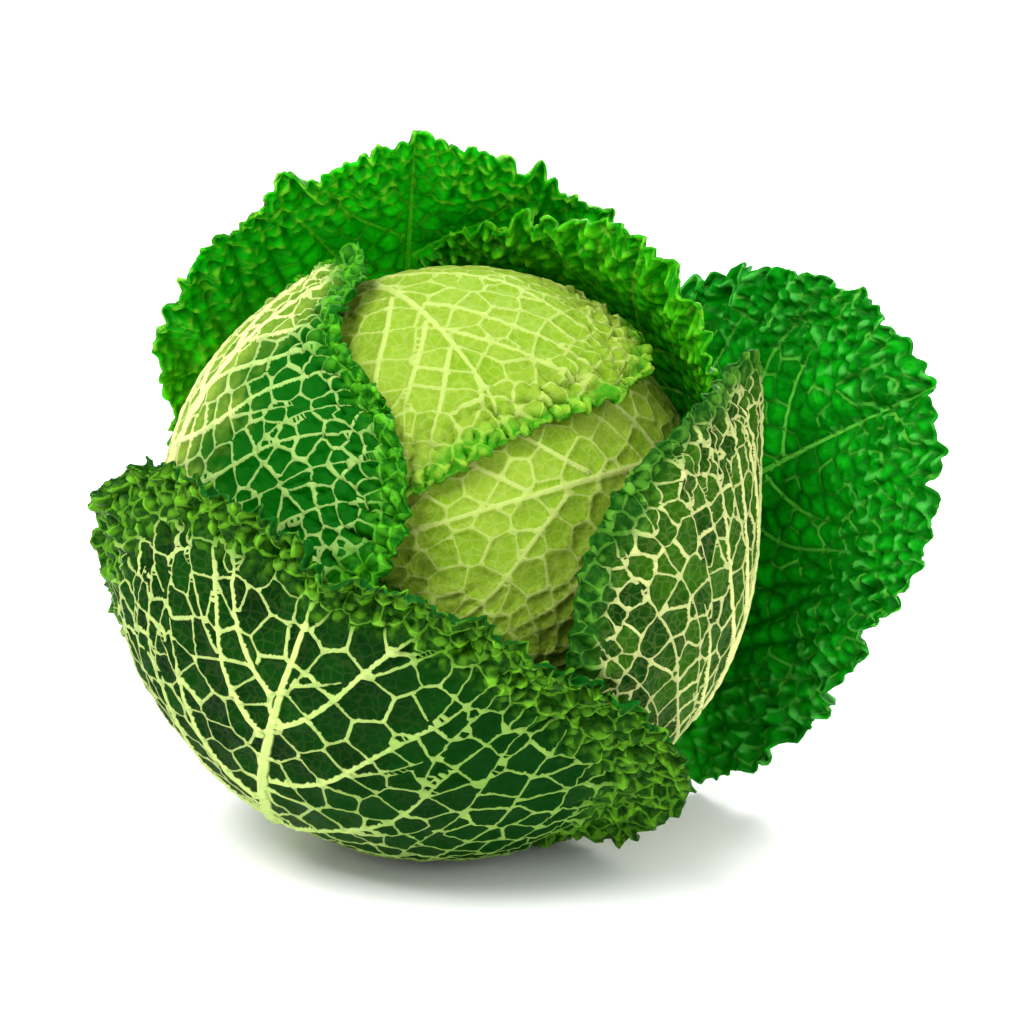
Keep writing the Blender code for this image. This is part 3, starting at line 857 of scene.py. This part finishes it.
def outer_colour(finish, crest, strong, mottle, grain):
    """The side that faces out: dark meshes between pale veins, which fade into the band at the margin, with
    painted shade over one side of some leaves and painted highlights on the wrinkles' crests.
    """
    thread = 1 - ramp(node("ShaderNodeTexVoronoi", {"feature": "DISTANCE_TO_EDGE"}, Vector=place(),
                           Scale=1000 / 3.2), 0.02, 0.12)
    blade = mix(attribute("cell") * 0.5 + mottle * 0.3 + grain * 0.2, finish.blade, finish.blade_light)
    blade = mix(thread * finish.fine, blade, finish.vein)
    blade = mix((1 - ramp(attribute("height"), 0.02, finish.base_reach)) * 0.7, blade, finish.base)
    vein = finish.vein
    # Painted shade: over one side of the leaf, across its midrib, the blade and veins turn to the darker
    # margin colours.
    if finish.painted_shade_side:
        shade = ramp(attribute("across") + mottle * 0.2, *finish.painted_shade_side)
        blade = mix(shade, blade, finish.margin)
        vein = mix(shade * 0.6, vein, finish.margin_vein_highlight_and_shade)
    side = mix(crest * (0.6 + strong * 0.4), blade, vein)
    band = ramp(attribute("share") + mottle * 0.05, *finish.band)
    # Painted highlight: the crests of the margin's wrinkles take the band's light vein colour.
    painted_crest_highlight = ramp(attribute("wrinkle") * -1, 0.05, 0.5)
    rim = mix(crest * 0.4 + grain * 0.15 + painted_crest_highlight * 0.45, finish.margin, finish.margin_vein_highlight_and_shade)
    return mix(band, side, rim), band


def inner_colour(finish, crest, strong, mottle, grain):
    """The side that faces in: blisters painted lighter on their tops and darker in their creases, painted
    highlights and shade on the margin's wrinkles, and only the thick veins pale.
    """
    # Painted shade in the blisters' creases along the veins, and a lighter tone on their tops as painted
    # highlight, mixed with random mottle.
    blade = mix(attribute("dome") * (mottle * 0.7 + grain * 0.3), finish.inner, finish.inner_tone_and_highlight)
    side = mix(crest * strong, blade, finish.inner_vein)
    # Painted shade in the furrows of the margin's wrinkles, and a painted highlight on their crests.
    side = mix(ramp(attribute("wrinkle") * -1, 0.05, 0.5) * 0.7, side, finish.margin)
    side = mix(ramp(attribute("wrinkle"), 0.1, 0.5) * 0.75, side, finish.margin_vein_highlight_and_shade)
    return mix((1 - ramp(attribute("height"), 0.05, finish.base_reach * 1.5)) * 0.8, side, finish.base)


def leaf_material(finish):
    """The finish of one leaf."""
    material, shader = new_material(finish.name)
    crest = 1 - ramp(attribute("vein"), 0.75, 1.3)
    strong = ramp(attribute("vein_size"), 0.2, 0.7)
    mottle = ramp(speckle(15, 3), 0.35, 0.65)
    grain = ramp(speckle(1.5, 2), 0.3, 0.7)
    outside, band = outer_colour(finish, crest, strong, mottle, grain)
    inside = inner_colour(finish, crest, strong, mottle, grain)
    feed(shader, "Base Color", mix(attribute("outer"), inside, outside))
    feed(shader, "Roughness", 0.55 - 0.1 * crest + 0.1 * grain - 0.15 * band)
    shader.inputs["Specular IOR Level"].default_value = 0.04
    shader.inputs["Subsurface Weight"].default_value = finish.through
    shader.inputs["Subsurface Radius"].default_value = (0.4, 1.0, 0.1)
    shader.inputs["Subsurface Scale"].default_value = 0.003
    relief = speckle(2.4, 3) * 0.9 + speckle(0.9, 2) * 0.4
    feed(shader, "Normal", node("ShaderNodeBump", None, Strength=0.6, Distance=0.0007, Height=relief))
    return material, finish.slot


HEAD = Finish("head_green", "head", colour(104, 140, 20), colour(126, 153, 44), colour(160, 177, 92),
              colour(96, 140, 30), colour(130, 165, 50), colour(150, 180, 90), colour(150, 174, 84),
              colour(40, 124, 8), colour(140, 178, 50), band=(0.88, 0.97), fine=0.2)
FINISHES = {
    "outer_leaf_front": Finish(
        "front_leaf_green", "dark_leaf", colour(0, 24, 0), colour(6, 62, 1), colour(190, 212, 122),
        colour(2, 66, 8), colour(12, 100, 20), colour(50, 120, 40), colour(104, 128, 80),
        colour(1, 50, 1), colour(98, 164, 28), band=(0.72, 0.84), base_reach=0.5, fine=0.02,
        painted_shade_side=(0.0, 0.7)),
    "outer_leaf_right": Finish(
        "right_leaf_green", "pale_leaf", colour(1, 46, 0), colour(50, 100, 4), colour(206, 212, 136),
        colour(2, 84, 8), colour(20, 120, 20), colour(70, 140, 50), colour(170, 180, 100),
        colour(2, 60, 2), colour(80, 140, 36), band=(0.86, 0.97), fine=0.05),
    "outer_leaf_left": Finish(
        "left_leaf_green", "pale_leaf", colour(66, 112, 12), colour(132, 160, 52), colour(212, 214, 146),
        colour(2, 84, 8), colour(20, 120, 20), colour(70, 140, 50), colour(180, 186, 106),
        colour(1, 78, 1), colour(76, 160, 24), painted_shade_side=(0.1, 0.45), fine=0.05),
    "outer_leaf_upper": Finish(
        "upper_leaf_green", "dark_leaf", colour(20, 84, 10), colour(52, 112, 22), colour(150, 168, 80),
        colour(2, 118, 2), colour(76, 184, 12), colour(120, 184, 50), colour(150, 176, 60),
        colour(3, 90, 2), colour(96, 188, 26), through=0.5),
    "outer_leaf_back": Finish(
        "back_leaf_green", "dark_leaf", colour(10, 84, 12), colour(34, 110, 28), colour(140, 162, 76),
        colour(0, 130, 4), colour(36, 204, 14), colour(100, 190, 36), colour(130, 204, 4),
        colour(0, 86, 4), colour(116, 196, 40), base_reach=0.5, through=0.6),
    # Its base colour is a bright green reaching far up the leaf: partly the leaf's lighter base, partly
    # painted light on the lower part, which lies in shade near the floor.
    "outer_leaf_far_right": Finish(
        "far_right_leaf_green", "dark_leaf", colour(10, 84, 14), colour(30, 106, 28), colour(138, 160, 78),
        colour(0, 92, 4), colour(8, 156, 14), colour(96, 184, 60), colour(40, 190, 20),
        colour(1, 72, 5), colour(66, 166, 62), base_reach=0.4, through=0.5),
}
for head_leaf in ("head_leaf_left", "head_leaf_right", "head_leaf_top"):
    FINISHES[head_leaf] = HEAD
MATERIALS = {finish.name: leaf_material(finish) for finish in FINISHES.values()}

# %% Build the leaves
for leaf_name, leaf in LEAVES.items():
    material, slot_name = MATERIALS[FINISHES[leaf_name].name]
    piece = add_leaf(leaf)
    piece.data.materials.clear()
    piece.data.materials.append(material)

# %% [markdown]
# ## Heart and stem
# Where the closed leaves stop, near the stem, the next leaves of the head show, so the heart has the same
# net of veins. The stem is the stump of the stalk, cut straight across.

# %% Heart
HEART_RADIUS = (heart_high.x - heart_low.x) / 2 / MM
HEART_SEEDS = 620
HEART_VEINS = 0.7


def add_heart():
    """The ball of inner leaves, with the net of the outermost ones."""
    ball = bmesh.new()
    bmesh.ops.create_uvsphere(ball, u_segments=180, v_segments=100, radius=1.0)
    mesh = bpy.data.meshes.new("heart_leaves")
    ball.to_mesh(mesh)
    ball.free()
    directions = np.zeros(len(mesh.vertices) * 3, np.float32)
    mesh.vertices.foreach_get("co", directions)
    directions = directions.reshape(-1, 3).astype(float)
    rng = np.random.default_rng(21)
    seeds = rng.normal(size=(HEART_SEEDS, 3))
    seeds = seeds / np.linalg.norm(seeds, axis=1)[:, None] * HEART_RADIUS
    half_widths = vein_widths(HEART_SEEDS, 0, HEART_VEINS, rng)
    way, ratio, width, cell = net_at(directions * HEART_RADIUS, seeds, half_widths)
    dome = 1 - (1 - np.clip(np.linalg.norm(way, axis=1) / DOME, 0, 1)) ** 2
    radius = HEART_RADIUS - 0.9 * dome
    points = directions * radius[:, None] + [HEAD_SHIFT, 0, 0]
    mesh.vertices.foreach_set("co", (points * MM + np.array(centre)).astype(np.float32).ravel())
    none = np.zeros(len(width))
    masks = {"vein": np.clip(ratio, 0, MOST_RATIO), "vein_size": width, "share": none, "height": none + 1,
             "dome": dome, "outer": none + 1, "across": none, "wrinkle": none,
             "cell": rng.uniform(0, 1, HEART_SEEDS)[cell]}
    for name, values in masks.items():
        mesh.attributes.new(name, "FLOAT", "POINT").data.foreach_set("value", values.astype(np.float32))
    mesh.shade_smooth()
    heart = bpy.data.objects.new("heart_leaves", mesh)
    bpy.context.scene.collection.objects.link(heart)
    heart.data.materials.append(MATERIALS[HEAD.name][0])
    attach(heart, "root")
    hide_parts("heart")


add_heart()

# %% Stem
STEM_START, STEM_END = 67.5, 110.0
STEM_ROUNDING = 1.5


def add_stem():
    """The cut stalk: a round stump with shallow flutes where the leaves left it."""
    stump = bmesh.new()
    bmesh.ops.create_cone(stump, cap_ends=True, segments=72, radius1=STEM_RADIUS, radius2=STEM_RADIUS,
                          depth=STEM_END - STEM_START)
    rims = [edge for edge in stump.edges if edge.verts[0].co.z * edge.verts[1].co.z > 0]
    bmesh.ops.bevel(stump, geom=rims, offset=STEM_ROUNDING, segments=3, profile=0.5, affect="EDGES",
                    material=-1)
    sides = [edge for edge in stump.edges if edge.verts[0].co.z * edge.verts[1].co.z < 0]
    bmesh.ops.subdivide_edges(stump, edges=sides, cuts=24, use_grid_fill=True)
    for vertex in stump.verts:
        angle = math.atan2(vertex.co.y, vertex.co.x)
        radius = math.hypot(vertex.co.x, vertex.co.y)
        if radius > STEM_RADIUS * 0.8:
            place_on = Vector((math.cos(angle) * 3, math.sin(angle) * 3, vertex.co.z / 9))
            dent = 0.35 * (1 + noise.noise(place_on))
            vertex.co.x *= 1 - dent / radius
            vertex.co.y *= 1 - dent / radius
    for vertex in stump.verts:
        vertex.co *= MM
    turn = Vector(STEM).to_track_quat("Z", "Y").to_matrix().to_4x4()
    middle = centre + Vector(STEM) * (STEM_START + STEM_END) / 2 * MM
    bmesh.ops.transform(stump, matrix=Matrix.Translation(middle) @ turn, verts=stump.verts)
    mesh = bpy.data.meshes.new("stalk")
    stump.to_mesh(mesh)
    stump.free()
    mesh.shade_smooth()
    stalk = bpy.data.objects.new("stalk", mesh)
    bpy.context.scene.collection.objects.link(stalk)
    return stalk


def stalk_material():
    """Pale skin, lighter and rougher in streaks."""
    material, shader = new_material("cut_stalk")
    streak = ramp(speckle(5, 4), 0.35, 0.7)
    feed(shader, "Base Color", mix(streak, colour(196, 208, 140), colour(226, 226, 178)))
    feed(shader, "Roughness", 0.5 + 0.2 * streak)
    rough = node("ShaderNodeBump", None, Strength=0.4, Distance=0.0006, Height=speckle(1.2, 3))
    feed(shader, "Normal", rough)
    shader.inputs["Subsurface Weight"].default_value = 0.1
    shader.inputs["Subsurface Scale"].default_value = 0.002
    return material


stalk = add_stem()
stalk.data.materials.append(stalk_material())
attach(stalk, "root")
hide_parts("stem")
